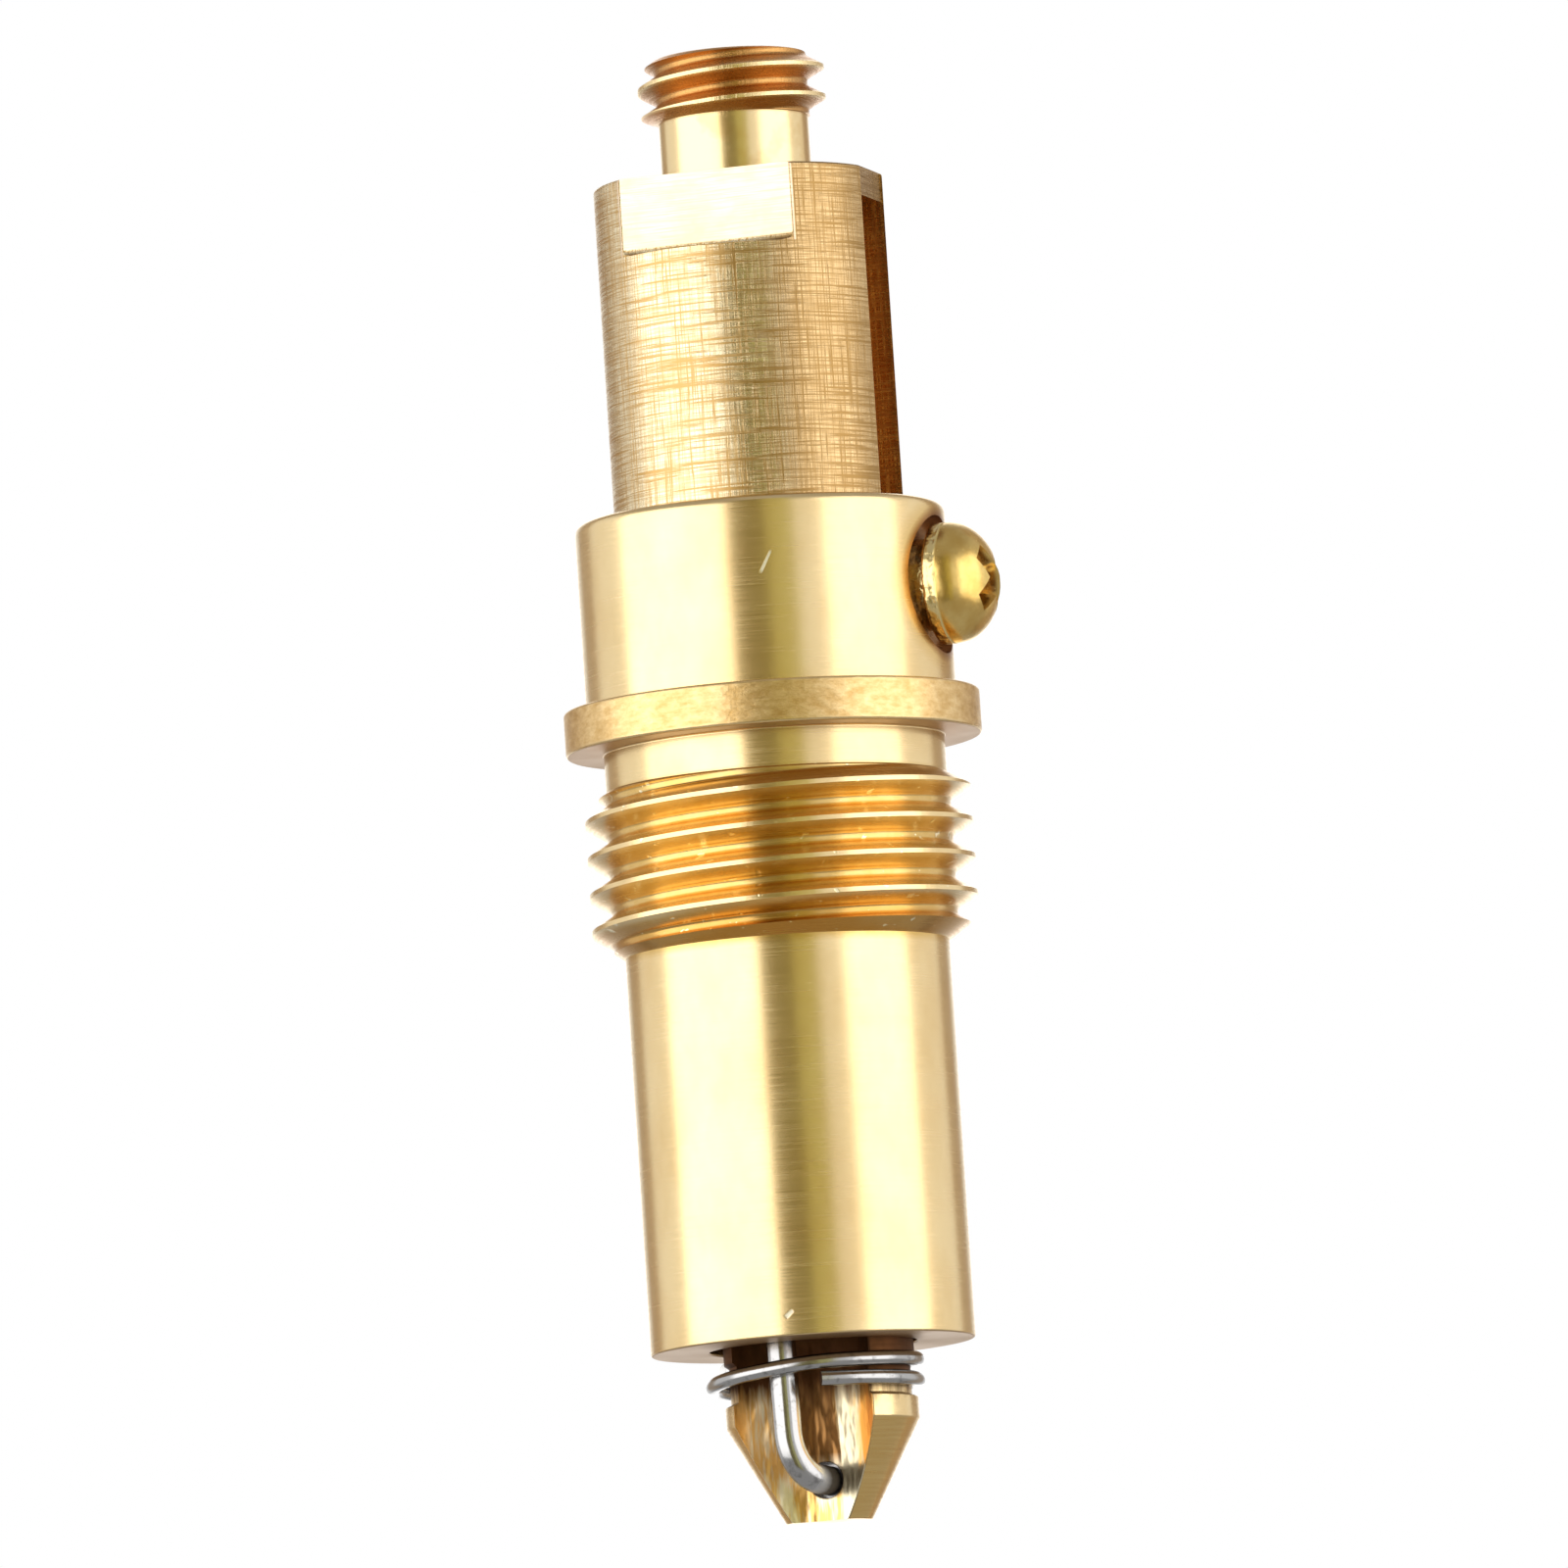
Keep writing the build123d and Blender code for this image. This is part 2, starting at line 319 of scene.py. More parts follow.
def wire(name, points, diameter, resolution):
    """A round wire along points, with flat cut ends."""
    curve = bpy.data.curves.new(name, "CURVE")
    curve.dimensions = "3D"
    curve.bevel_depth = diameter / 2
    curve.bevel_resolution = resolution
    curve.use_fill_caps = True
    spline = curve.splines.new("POLY")
    spline.points.add(len(points) - 1)
    for point, place in zip(spline.points, points):
        point.co = (*place, 1)
    holder = bpy.data.objects.new(name, curve)
    bpy.context.scene.collection.objects.link(holder)
    bpy.context.view_layer.update()
    graph = bpy.context.evaluated_depsgraph_get()
    mesh = bpy.data.meshes.new_from_object(holder.evaluated_get(graph))
    bpy.data.objects.remove(holder)
    bm = bmesh.new()
    bm.from_mesh(mesh)
    bmesh.ops.remove_doubles(bm, verts=bm.verts[:], dist=1e-4)
    bpy.data.meshes.remove(mesh)
    return piece_from(name, bm)


def on_bezier(a, b, c, d, t):
    """A point on a cubic curve."""
    return a * (1 - t) ** 3 + b * 3 * t * (1 - t) ** 2 + c * 3 * t**2 * (1 - t) + d * t**3


# Pieces


def make_sleeve():
    """The threaded housing, with its bore, helical thread, screw hole and spot face."""
    runout = (BODY_CREST_R - SKIRT_R) * tan(radians(RUNOUT_ANGLE))
    thread_top = -UNDERCUT_HEIGHT
    thread_bottom = thread_top - BODY_THREAD_LENGTH
    sleeve = turned(
        "sleeve_visual",
        rounded(
            [
                (TAIL_HOLE_R, SKIRT_BOTTOM, 0.08),
                (SKIRT_R, SKIRT_BOTTOM, 0.12),
                (SKIRT_R, thread_bottom, 0),
                (BODY_CREST_R, thread_bottom + runout, 0),
                (BODY_CREST_R, thread_top - runout * 0.6, 0),
                (UNDERCUT_R, thread_top, 0.05),
                (UNDERCUT_R, 0, 0.08),
                (FLANGE_R, 0, 0.14),
                (FLANGE_R, FLANGE_TOP, 0.14),
                (COLLAR_R, FLANGE_TOP, 0.08),
                (COLLAR_R, COLLAR_TOP, 0.42),
                (BORE_R, COLLAR_TOP, 0.1),
                (BORE_R, LEDGE_Z, 0),
                (TAIL_HOLE_R, LEDGE_Z, 0),
            ]
        ),
    )
    in_bore, beyond_face, outside = 4, 9, 12
    spot_face = rod(SPOT_FACE_R, SPOT_FACE_X, outside, 64)
    hole = rod(SCREW_PIN_R + SCREW_CLEARANCE, in_bore, beyond_face, 48)
    for cutter in (spot_face, hole):
        lay_along_x(cutter, SCREW_Z)
        cut(sleeve, cutter)

    # The thread starts below the crests and ends in the undercut
    groove = thread_groove(BODY_CREST_R, BODY_ROOT_R, BODY_PITCH)
    first = thread_bottom - BODY_PITCH + BODY_THREAD_SHIFT
    last = -BODY_PITCH * 0.55
    cut(sleeve, helical_cutter(groove, BODY_PITCH, first, (last - first) / BODY_PITCH))
    smooth(sleeve)
    return sleeve


def make_plunger():
    """The push plunger, with its wrench flats, side slot, neck and helical stud thread."""
    neck_top = SHOULDER_Z + NECK_HEIGHT
    top = PLUNGER_HIGH.z
    bottom = PLUNGER_LOW.z
    plunger = turned(
        "plunger_visual",
        rounded(
            [
                (0, bottom, 0),
                (PLUNGER_R, bottom, 0.4),
                (PLUNGER_R, SHOULDER_Z, 0.14),
                (NECK_R, SHOULDER_Z, 0.06),
                (NECK_R, neck_top, 0),
                (STUD_CREST_R, neck_top + STUD_LEAD_IN, 0),
                (STUD_CREST_R, top - STUD_CHAMFER, 0),
                (STUD_END_R, top, 0.12),
                (0, top, 0),
            ]
        ),
    )
    over_shoulder = SHOULDER_Z + 1

    # The flats' cutter is wider than they are, so that its rounding shows mostly at their lower corners
    half_width = sqrt(PLUNGER_R**2 - (FLATS_ACROSS / 2) ** 2) + FLATS_CUTTER_ROOM
    for side in (1, -1):
        low = (-half_width, side * FLATS_ACROSS / 2, SHOULDER_Z - FLATS_DEPTH)
        high = (half_width, side * PLUNGER_R * 1.2, over_shoulder)
        cutter = block(low, high)
        break_edges(cutter, FLATS_CORNER)
        cut(plunger, cutter)

    # The slot, and the shallow relief of the bridge above it
    half_slot = SLOT_WIDTH / 2
    outside = PLUNGER_R * 1.3
    relief_x = PLUNGER_R - SLOT_RELIEF
    cut(plunger, block((SLOT_FLOOR_X, -half_slot, SLOT_BOTTOM), (outside, half_slot, SLOT_TOP)))
    cut(plunger, block((relief_x, -half_slot, SLOT_TOP - 1), (outside, half_slot, over_shoulder)))
    break_edges(plunger, 0.05)

    groove = thread_groove(STUD_CREST_R, STUD_ROOT_R, STUD_PITCH)
    first = neck_top - 1.3 * STUD_PITCH + STUD_THREAD_SHIFT
    cut(plunger, helical_cutter(groove, STUD_PITCH, first, STUD_THREAD_TURNS))
    smooth(plunger)
    return plunger


def cross_recess_cutter():
    """The four-armed tapered punch that leaves a screw's cross recess, with its point towards the shank."""
    bm = bmesh.new()
    arm = 1.95
    half_width = 0.56
    depth = 1.5
    above = 0.2
    taper = 0.35
    mouth = []
    floor = []
    for quarter in range(4):
        turn = Matrix.Rotation(quarter * pi / 2 + radians(45), 2)
        for u, v in ((arm, -half_width), (arm, half_width), (half_width, half_width)):
            spread = turn @ Vector((u, v))
            mouth.append(bm.verts.new((HEAD_TOP_X + above, spread.x, SCREW_Z + spread.y)))
            floor.append(bm.verts.new((HEAD_TOP_X - depth, spread.x * taper, SCREW_Z + spread.y * taper)))
    join_rings(bm, mouth, floor)
    bm.faces.new(mouth)
    bm.faces.new(floor)
    return piece_from("cutter", bm)


def make_guide_screw():
    """The pan-head screw; its head's rim is slightly uneven, as if pinched while it was driven."""
    dome = []
    steps = 12
    for step in range(1, steps):
        angle = pi / 2 * step / steps
        dome.append((HEAD_R * cos(angle), HEAD_RIM_X + (HEAD_TOP_X - HEAD_RIM_X) * sin(angle), 0))
    screw = turned(
        "guide_screw_visual",
        rounded(
            [
                (0, SCREW_LOW.x, 0),
                (SCREW_PIN_R, SCREW_LOW.x, 0.15),
                (SCREW_PIN_R, SPOT_FACE_X, 0),
                (SCREW_SHOULDER_R, SPOT_FACE_X, 0),
                (SCREW_SHOULDER_R, HEAD_BACK_X, 0),
                (HEAD_R, HEAD_BACK_X, 0.15),
                (HEAD_R, HEAD_RIM_X, 0),
                *dome,
                (0, HEAD_TOP_X, 0),
            ]
        ),
        96,
    )
    deepest = 0.022
    for vert in screw.data.vertices:
        along = vert.co.z
        if HEAD_BACK_X - 0.01 < along < HEAD_RIM_X + 0.5:
            dent = noise.noise(Vector((vert.co.x, vert.co.y, along * 0.3)) * 0.9)
            vert.co.x *= 1 - deepest * max(0, dent)
            vert.co.y *= 1 - deepest * max(0, dent)
    lay_along_x(screw, SCREW_Z)
    cut(screw, cross_recess_cutter())
    smooth(screw, 28)
    return screw


def make_needle_carrier():
    """The tail piece, with its flange, ring groove, cone, flute and pivot hole."""
    carrier = turned(
        "needle_carrier_visual",
        rounded(
            [
                (0, TIP_Z, 0),
                (TIP_R, TIP_Z, 0.06),
                (CARRIER_R, LAND_BOTTOM, 0.05),
                (CARRIER_R, LAND_TOP, 0.05),
                (RING_GROOVE_R, LAND_TOP + 0.1, 0.04),
                (RING_GROOVE_R, RING_GROOVE_TOP, 0),
                (UPPER_LAND_R, UPPER_LAND_BOTTOM, 0),
                (UPPER_LAND_R, LEDGE_Z, 0),
                (CARRIER_FLANGE_R, LEDGE_Z, 0.1),
                (CARRIER_FLANGE_R, CARRIER_HIGH.z, 0.1),
                (0, CARRIER_HIGH.z, 0),
            ]
        ),
    )
    depth = CARRIER_HIGH.z - TIP_Z
    flute = rod(FLUTE_R, -depth, 2 * depth, 128)
    flute.data.transform(Matrix.Translation((0, FLUTE_Y, TIP_Z)))
    cut(carrier, flute)
    carrier.data.transform(Matrix.Translation(CARRIER_LEAN))
    hole = rod(PIVOT_HOLE_R, -6, 6, 64)
    hole.data.transform(Matrix.Translation((PIVOT.x, 0, PIVOT.z)) @ Matrix.Rotation(pi / 2, 4, "X"))
    cut(carrier, hole)
    break_edges(carrier, 0.06)
    smooth(carrier)
    return carrier


def make_needle():
    """The bent steel needle, from its leg in the carrier's hole to the hook in the cam's track."""
    radius = NEEDLE_WIRE / 2
    body_x = NEEDLE_LOW.x + radius
    body_y = NEEDLE_LOW.y + radius
    hook_z = NEEDLE_HIGH.z - radius
    hook_end = -1.2
    bend = 0.9
    leg = Vector((PIVOT.x, NEEDLE_HIGH.y, PIVOT.z))
    mouth_y = -1.3
    mouth = Vector((PIVOT.x, mouth_y, PIVOT.z))
    points = [leg.lerp(mouth, step / 4) for step in range(4)]

    # The lower bend, from the mouth of the hole to where the wire is straight
    bend_height = 2.1
    pull = 1.5
    droop = 0.1
    straight = Vector((body_x + NEEDLE_LEAN, body_y, PIVOT.z + bend_height))
    reach = mouth - Vector((droop, pull, droop))
    sink = straight - Vector((0, 0, pull))
    points += [on_bezier(mouth, reach, sink, straight, step / 32) for step in range(33)]
    top = Vector((body_x, body_y, hook_z - bend))
    points += [straight.lerp(top, step / 6) for step in range(1, 7)]

    # The hook's bend
    for step in range(1, 17):
        angle = pi / 2 * step / 16
        points.append(top + Vector((0, bend * (1 - cos(angle)), bend * sin(angle))))
    points.append(Vector((body_x, hook_end, hook_z)))
    needle = wire("needle_visual", points, NEEDLE_WIRE, 7)
    smooth(needle, 50)
    return needle


def make_retaining_ring():
    """Nearly two turns of wire round the carrier; it climbs past the needle from the lower to the upper."""
    mean_r = (RING_HIGH.x - RING_LOW.x) / 2 - RING_WIRE / 2
    level = RING_LOW.z + RING_WIRE / 2 + 0.02

    # Degrees from the start, and the height there
    heights = [(0, 0), (90, 0), (180, 0.03), (270, 0.2), (320, 0.47), (360, 0.72), (450, 0.86), (602, 1.05)]
    points = []
    for (angle_a, height_a), (angle_b, height_b) in zip(heights, heights[1:]):
        steps = round((angle_b - angle_a) / 5)
        for step in range(steps):
            t = step / steps
            angle = radians(RING_START + angle_a + (angle_b - angle_a) * t)
            height = level + height_a + (height_b - height_a) * t
            points.append(Vector((mean_r * cos(angle), mean_r * sin(angle), height)))
    smoothings = 6
    for _ in range(smoothings):
        inner = [(a + b * 2 + c) / 4 for a, b, c in zip(points, points[1:], points[2:])]
        points = [points[0], *inner, points[-1]]
    ring = wire("retaining_ring_visual", points, RING_WIRE, 7)
    smooth(ring, 50)
    return ring


def make_return_spring():
    """The compression spring, with closed end turns."""
    mean_r = SPRING_HIGH.x - SPRING_WIRE / 2
    bottom = SPRING_LOW.z + SPRING_WIRE / 2
    top = SPRING_HIGH.z - SPRING_WIRE / 2
    turns = 9.5
    per_turn = 48
    points = []
    for index in range(round(turns * per_turn) + 1):
        turn = index / per_turn
        if turn < 1:
            rise = turn * SPRING_WIRE
        elif turn > turns - 1:
            rise = top - bottom - (turns - turn) * SPRING_WIRE
        else:
            rise = SPRING_WIRE + (turn - 1) / (turns - 2) * (top - bottom - 2 * SPRING_WIRE)
        angle = 2 * pi * turn
        points.append(Vector((mean_r * cos(angle), mean_r * sin(angle), bottom + rise)))
    spring = wire("return_spring_visual", points, SPRING_WIRE, 4)
    smooth(spring, 50)
    return spring


# Materials


class Nodes:
    """Short calls for the nodes of a tree."""

    def __init__(self, tree):
        self.tree = tree

    def feed(self, socket, value):
        """Links an output to a socket, or sets the socket's own value."""
        if isinstance(value, bpy.types.NodeSocket):
            self.tree.links.new(value, socket)
        else:
            socket.default_value = value

    def add(self, kind, output, inputs=(), **settings):
        """A new node's output. The inputs are (name or number, value) pairs."""
        node = self.tree.nodes.new(kind)
        for name, value in settings.items():
            setattr(node, name, value)
        for socket, value in inputs:
            self.feed(node.inputs[socket], value)
        return node.outputs[output]

    def math(self, operation, *values):
        return self.add("ShaderNodeMath", 0, enumerate(values), operation=operation)

    def vector(self, operation, *values, output="Vector"):
        return self.add("ShaderNodeVectorMath", output, enumerate(values), operation=operation)

    def between(self, value, low, high, to_low=0.0, to_high=1.0):
        """The value's range low..high, mapped to to_low..to_high and clamped."""
        ends = [("From Min", low), ("From Max", high), ("To Min", to_low), ("To Max", to_high)]
        return self.add("ShaderNodeMapRange", "Result", [("Value", value), *ends])

    def falling(self, value, low, high):
        """1 up to a low value and 0 from a high one."""
        return self.between(value, low, high, 1.0, 0.0)

    def all_of(self, first, *others):
        """The product of masks, or of a mask and a number."""
        for other in others:
            first = self.math("MULTIPLY", first, other)
        return first


class Shader(Nodes):
    """A metal or paint. Lengths are in millimetres, and noise scales are per metre."""

    def __init__(self, name):
        self.material = bpy.data.materials.new(name)
        self.material.use_nodes = True
        super().__init__(self.material.node_tree)
        self.surface = self.tree.nodes["Principled BSDF"]
        self.place = self.add("ShaderNodeTexCoord", "Object")

    def noise(self, scale, detail=2.0, roughness=0.5, distortion=0.0):
        """Noise whose features are about 1/scale metres along each axis."""
        looks = [("Detail", detail), ("Roughness", roughness), ("Distortion", distortion)]
        stretched = self.vector("MULTIPLY", self.place, scale)
        return self.add("ShaderNodeTexNoise", "Fac", [("Vector", stretched), ("Scale", 1.0), *looks])

    def mix(self, share, a, b):
        """A colour between two others."""
        ends = [("Factor", share), ("A", a), ("B", b)]
        return self.add("ShaderNodeMix", "Result", ends, data_type="RGBA")

    def mix_value(self, share, a, b):
        """A number between two others."""
        ends = [("Factor", share), ("A", a), ("B", b)]
        return self.add("ShaderNodeMix", "Result", ends, data_type="FLOAT")

    def bump(self, height, distance, strength, *under):
        """The normal of a relief that is a distance high, over another bump's normal if one is given."""
        relief = [("Height", height), ("Distance", distance * MM), ("Strength", strength)]
        return self.add("ShaderNodeBump", "Normal", relief + [("Normal", normal) for normal in under])

    def offset(self, centre=(0, 0, 0), scale=(1, 1, 1)):
        """The way from a centre, scaled along each axis."""
        moved = self.vector("SUBTRACT", self.place, Vector(centre) * MM)
        return self.vector("MULTIPLY", moved, Vector(scale) / MM)

    def part(self, axis):
        """One coordinate."""
        return self.add("ShaderNodeSeparateXYZ", axis, [(0, self.offset())])

    def length(self, scale, centre=(0, 0, 0)):
        """Distance from a centre; an axis whose scale is 0 isn't counted."""
        return self.vector("LENGTH", self.offset(centre, scale), output="Value")

    def height_band(self, low, high, soft=0.1):
        """1 between two heights and 0 outside them."""
        height = self.part("Z")
        above = self.between(height, low - soft, low + soft)
        return self.all_of(above, self.falling(height, high - soft, high + soft))

    def scratch(self, start, end, width):
        """1 along a straight scratch between two points, fading at its ends."""
        start, end = Vector(start), Vector(end)
        half = (end - start).length / 2
        along = (end - start).normalized()
        moved = self.offset((start + end) / 2)
        away = self.vector("LENGTH", self.vector("CROSS_PRODUCT", moved, along), output="Value")
        position = self.math("ABSOLUTE", self.vector("DOT_PRODUCT", moved, along, output="Value"))
        near_line = self.falling(away, 0.3 * width, 0.6 * width)
        return self.all_of(near_line, self.falling(position, half * 0.7, half))

    def finish(self, colour, roughness, normal, metal=1.0):
        self.feed(self.surface.inputs["Metallic"], metal)
        self.feed(self.surface.inputs["Base Color"], colour)
        self.feed(self.surface.inputs["Roughness"], roughness)
        self.feed(self.surface.inputs["Normal"], normal)
        return self.material


# Brass
LIT_SIDE_CREAM = (1.0, 0.90, 0.64, 1)
NICK_BRASS = (1.0, 0.86, 0.55, 1)
SCRATCH_BRASS = (1.0, 0.93, 0.74, 1)
LIGHT_BRASS = (0.95, 0.73, 0.39, 1)
DEEP_BRASS = (0.88, 0.63, 0.30, 1)
FLAT_BRASS = (0.92, 0.73, 0.55, 1)
FLAT_LINE_BRASS = (0.74, 0.55, 0.36, 1)
RIM_LIGHT = (0.93, 0.68, 0.34, 1)
RIM_DARK = (0.64, 0.39, 0.13, 1)
SHADED_SIDE_TAN = (0.73, 0.51, 0.26, 1)
AMBER_SHADE_BRASS = (0.74, 0.46, 0.12, 1)
SLOT_SHADE_BRASS = (0.70, 0.40, 0.14, 1)
COPPERY_BRASS = (0.60, 0.31, 0.10, 1)
THREAD_END_SHADE = (0.60, 0.30, 0.06, 1)
UNDERSIDE_SHADE_BRASS = (0.50, 0.32, 0.16, 1)
LIT_SIDE_SCORE = (0.56, 0.34, 0.12, 1)
SHADED_SIDE_SCORE = (0.36, 0.21, 0.07, 1)
SEAT_SHADE_BROWN = (0.38, 0.17, 0.04, 1)

# The guide screw's gold
SCREW_GOLD = (0.90, 0.64, 0.22, 1)
SCREW_DENT = (0.76, 0.48, 0.13, 1)
SCREW_RIM = (0.95, 0.75, 0.35, 1)
RECESS_HIGHLIGHT = (0.95, 0.72, 0.32, 1)
RECESS_SHADE = (0.30, 0.15, 0.03, 1)

# The carrier's cone, flute, neck and hole, with painted shade and highlight on the flute and painted shade on the
# neck and in the hole
CONE_LIGHT = (0.92, 0.64, 0.25, 1)
CONE_DARK = (0.78, 0.50, 0.17, 1)
FLUTE_PALE = (1.0, 0.88, 0.62, 1)
FLUTE_RIGHT_HIGHLIGHT = (1.0, 0.88, 0.60, 1)
FLUTE_ORANGE = (0.92, 0.54, 0.17, 1)
FLUTE_MIDDLE_SHADE = (0.36, 0.18, 0.06, 1)
NECK_SHADE_BROWN = (0.20, 0.08, 0.03, 1)
NECK_SHADE_DARK = (0.09, 0.04, 0.015, 1)
HOLE_SHADE = (0.05, 0.03, 0.02, 1)

PALE_STEEL = (0.50, 0.49, 0.48, 1)
DARK_STEEL = (0.26, 0.25, 0.24, 1)
NEEDLE_END_SHADE = (0.035, 0.025, 0.015, 1)


def turned_brass():
    """Bright turned brass with a matt flange rim; painted shade makes the thread's groove deep amber and darkens
    the screw's seat and the undersides.
    """
    shader = Shader("turned_brass")
    radius = shader.length((1, 1, 0))
    marks = shader.noise((260, 260, 26000), 3.0, 0.6)
    bands = shader.noise((60, 60, 1500), 2.0, 0.5)
    blotches = shader.noise((420, 420, 260), 3.0, 0.55)
    colour = shader.mix(shader.between(blotches, 0.35, 0.75), LIGHT_BRASS, DEEP_BRASS)
    roughness = shader.between(marks, 0.3, 0.7, 0.18, 0.28)

    # The thread's groove and end flank, darkened with painted shade in patches, and its nicked crests
    thread_bottom = -UNDERCUT_HEIGHT - BODY_THREAD_LENGTH
    thread = shader.height_band(thread_bottom - 0.2, -UNDERCUT_HEIGHT, 0.15)
    off_skirt = shader.between(radius, SKIRT_R + 0.03, SKIRT_R + 0.1)
    groove = shader.falling(radius, BODY_CREST_R - 0.34, BODY_CREST_R - 0.1)
    end_flank = shader.all_of(
        shader.height_band(thread_bottom - 0.3, thread_bottom + 1.0),
        off_skirt,
        shader.falling(radius, BODY_CREST_R - 0.2, BODY_CREST_R - 0.05),
    )
    groove_shade_patches = shader.between(shader.noise((1500, 1500, 2200), 4.0, 0.65), 0.2, 0.75, 1.0, 0.55)
    groove_shade = shader.all_of(thread, shader.math("MAXIMUM", groove, end_flank), groove_shade_patches)
    colour = shader.mix(groove_shade, colour, AMBER_SHADE_BRASS)
    colour = shader.mix(shader.all_of(end_flank, 0.6), colour, THREAD_END_SHADE)
    chips = shader.between(shader.noise((1900, 1900, 2600), 2.0, 0.5), 0.67, 0.71)
    nicks = shader.all_of(thread, off_skirt, chips)
    colour = shader.mix(nicks, colour, NICK_BRASS)

    # The flange's rim
    at_rim = shader.between(radius, FLANGE_R - 0.12, FLANGE_R - 0.05)
    rim = shader.all_of(at_rim, shader.height_band(0.1, FLANGE_TOP - 0.05))
    rim_grain = shader.noise((1400, 1400, 3000), 4.0, 0.7)
    rim_colour = shader.mix(shader.between(rim_grain, 0.3, 0.7), RIM_DARK, RIM_LIGHT)
    colour = shader.mix(rim, colour, rim_colour)
    roughness = shader.math("ADD", roughness, shader.all_of(rim, 0.12))

    # Painted shade round the screw's head: brown close to it, fading out through amber
    from_screw = shader.length((0, 1, 1), (0, 0, SCREW_Z))
    screw_side = shader.between(shader.part("X"), 5, 6)
    seat_shade_fade = shader.between(from_screw, SPOT_FACE_R, SPOT_FACE_R + 1.0, 0.9, 0.0)
    seat_shade = shader.falling(from_screw, SPOT_FACE_R + 0.05, SPOT_FACE_R + 0.4)
    colour = shader.mix(shader.all_of(seat_shade_fade, screw_side), colour, AMBER_SHADE_BRASS)
    colour = shader.mix(shader.all_of(seat_shade, screw_side), colour, SEAT_SHADE_BROWN)

    # Painted shade on the undersides of the flange and the skirt, which are also rougher
    off_undercut = shader.between(radius, UNDERCUT_R, UNDERCUT_R + 0.06)
    under_flange = shader.all_of(off_undercut, shader.height_band(-0.1, 0.02, 0.01))
    under_skirt = shader.falling(shader.part("Z"), SKIRT_BOTTOM + 0.02, SKIRT_BOTTOM + 0.05)
    underside = shader.math("MAXIMUM", under_flange, under_skirt)
    colour = shader.mix(underside, colour, UNDERSIDE_SHADE_BRASS)
    roughness = shader.math("ADD", roughness, shader.all_of(underside, 0.2))

    # The two deepest scratches
    collar_scratch = shader.scratch((2.1, -7.3, 6.2), (2.6, -7.1, 7.2), 0.13)
    skirt_nick = shader.scratch((0.9, -6.6, -24.05), (1.25, -6.6, -23.75), 0.2)
    damage = shader.math("MAXIMUM", collar_scratch, skirt_nick)
    colour = shader.mix(damage, colour, SCRATCH_BRASS)
    roughness = shader.math("ADD", roughness, shader.all_of(damage, 0.25))

    fine = shader.bump(marks, 0.004, 0.3)
    grain = shader.bump(shader.all_of(rim_grain, rim), 0.05, 0.6, fine)
    raised = shader.math("SUBTRACT", bands, shader.math("ADD", damage, nicks))
    normal = shader.bump(raised, 0.02, 0.3, grain)
    return shader.finish(colour, roughness, normal)


def flats_mask(shader):
    """1 on the plunger's wrench flats."""
    across = shader.math("ABSOLUTE", shader.part("Y"))
    flat_y = FLATS_ACROSS / 2
    return shader.all_of(
        shader.falling(across, flat_y + 0.01, flat_y + 0.03),
        shader.between(across, flat_y - 0.05, flat_y - 0.02),
        shader.height_band(SHOULDER_Z - FLATS_DEPTH, SHOULDER_Z + 0.1, 0.03),
    )


def slot_shade_mask(shader, radius):
    """Where the slot's painted shade goes: 1 inside the plunger's slot, and less close to its mouth."""
    half_slot = SLOT_WIDTH / 2
    mouth_r = PLUNGER_R - SLOT_RELIEF
    return shader.all_of(
        shader.between(shader.part("X"), SLOT_FLOOR_X - 0.3, SLOT_FLOOR_X - 0.1),
        shader.falling(shader.math("ABSOLUTE", shader.part("Y")), half_slot + 0.02, half_slot + 0.05),
        shader.between(radius, mouth_r - 0.08, mouth_r + 0.1, 1.0, 0.35),
        shader.falling(shader.part("Z"), SLOT_TOP - 0.05, SLOT_TOP + 0.05),
    )


